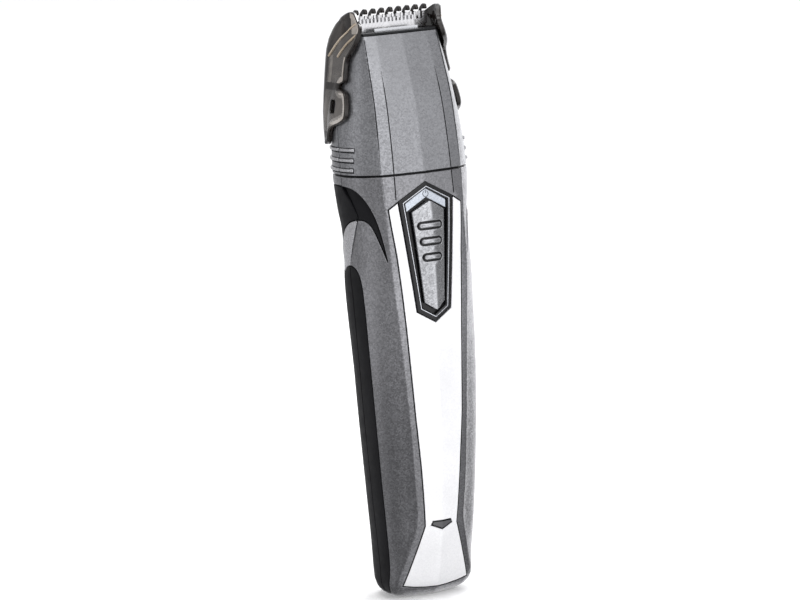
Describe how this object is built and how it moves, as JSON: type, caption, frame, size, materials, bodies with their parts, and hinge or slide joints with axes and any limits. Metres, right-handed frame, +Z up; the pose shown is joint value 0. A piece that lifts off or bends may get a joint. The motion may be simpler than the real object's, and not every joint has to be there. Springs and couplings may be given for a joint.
{
  "type": "beard trimmer",
  "caption": "Handheld beard trimmer with sculpted handle, thumb power slider, snap-off head, reciprocating toothed cutter and slide-on length comb.",
  "frame": {"origin": "centre of the charging socket's mouth, on the handle's flat foot", "axes": "+Z up along the handle to the blades, front face with the slider towards -Y, +X across to the right of the back view"},
  "size_m": [0.0422, 0.0339, 0.1654],
  "materials": {
    "shell_metallic": "dark gray metallic with fine flake",
    "head_metallic": "mid gray metallic with fine flake",
    "panel_silver": "bright silver lacquer, satin gloss",
    "bezel_black": "gloss black",
    "icon_gray": "light blue-gray, gloss",
    "soft_black": "satin black soft-touch",
    "slider_silver": "silver-gray satin",
    "lens_gray": "smoky window",
    "inner_black": "moulded black, matte",
    "inner_natural": "moulded natural white, matte",
    "board_green": "solder resist green",
    "cell_sleeve": "shrink sleeve",
    "steel": "ground steel",
    "motor_steel": "plated can",
    "contact_nickel": "nickel plate",
    "led_clear": "clear resin",
    "comb_smoke": "smoky brown-gray translucent"
  },
  "bodies": {
    "handle": {"front_shell": "shell_metallic", "rear_shell": "shell_metallic", "front_panel": "panel_silver", "switch_bezel": "bezel_black", "icon_plate": "icon_gray", "indicator_lens": "lens_gray", "thumb_grip_left": "soft_black", "thumb_grip_right": "soft_black", "side_grip_left": "soft_black", "side_grip_right": "soft_black", "rear_grip": "soft_black", "seal_ring": "inner_black", "bulkhead": "inner_black", "chassis": "inner_natural", "motor": "motor_steel", "battery": "cell_sleeve", "battery_contacts": "contact_nickel", "circuit_board": "board_green", "switch_body": "inner_black", "charge_led": "led_clear", "charging_socket": "inner_black", "housing_screws": "steel"},
    "slider": {"power_slider": "slider_silver", "switch_stem": "inner_black"},
    "rotor": {"eccentric_cam": "inner_natural"},
    "head": {"head_front_shell": "head_metallic", "head_rear_shell": "head_metallic", "head_base": "inner_black", "blade_surround": "inner_black", "blade_holder": "inner_black", "fixed_blade": "steel", "tension_spring": "steel", "pivot_pin": "steel", "blade_screws": "steel"},
    "rocker": {"rocker_lever": "inner_natural"},
    "cutter": {"moving_blade": "steel", "blade_driver": "inner_natural"},
    "comb": {"comb": "comb_smoke"}
  },
  "joints": [
    {"name": "power_slide", "type": "slide", "parent": "handle", "child": "slider", "axis": [0, 0, 1], "range_m": [0, 0.0032]},
    {"name": "motor_spin", "type": "hinge", "parent": "handle", "child": "rotor", "pos_m": [0, 0.0016, 0.11], "axis": [0, 0, 1], "continuous": true},
    {"name": "head_release", "type": "slide", "parent": "handle", "child": "head", "axis": [0, 0, 1], "range_m": [0, 0.025]},
    {"name": "rocker_swing", "type": "hinge", "parent": "head", "child": "rocker", "pos_m": [0, -0.001, 0.135], "axis": [0, 1, 0], "range_deg": [-0.65, 5.86]},
    {"name": "cutter_slide", "type": "slide", "parent": "head", "child": "cutter", "axis": [1, 0, 0], "range_m": [-0.00025, 0.00225]},
    {"name": "comb_slide", "type": "slide", "parent": "head", "child": "comb", "axis": [0, 0, 1], "range_m": [0, 0.04]}
  ],
  "couplings": [
    {"joint": "rocker_swing", "follows": "cutter_slide", "rad_per_m": 45.455}
  ]
}
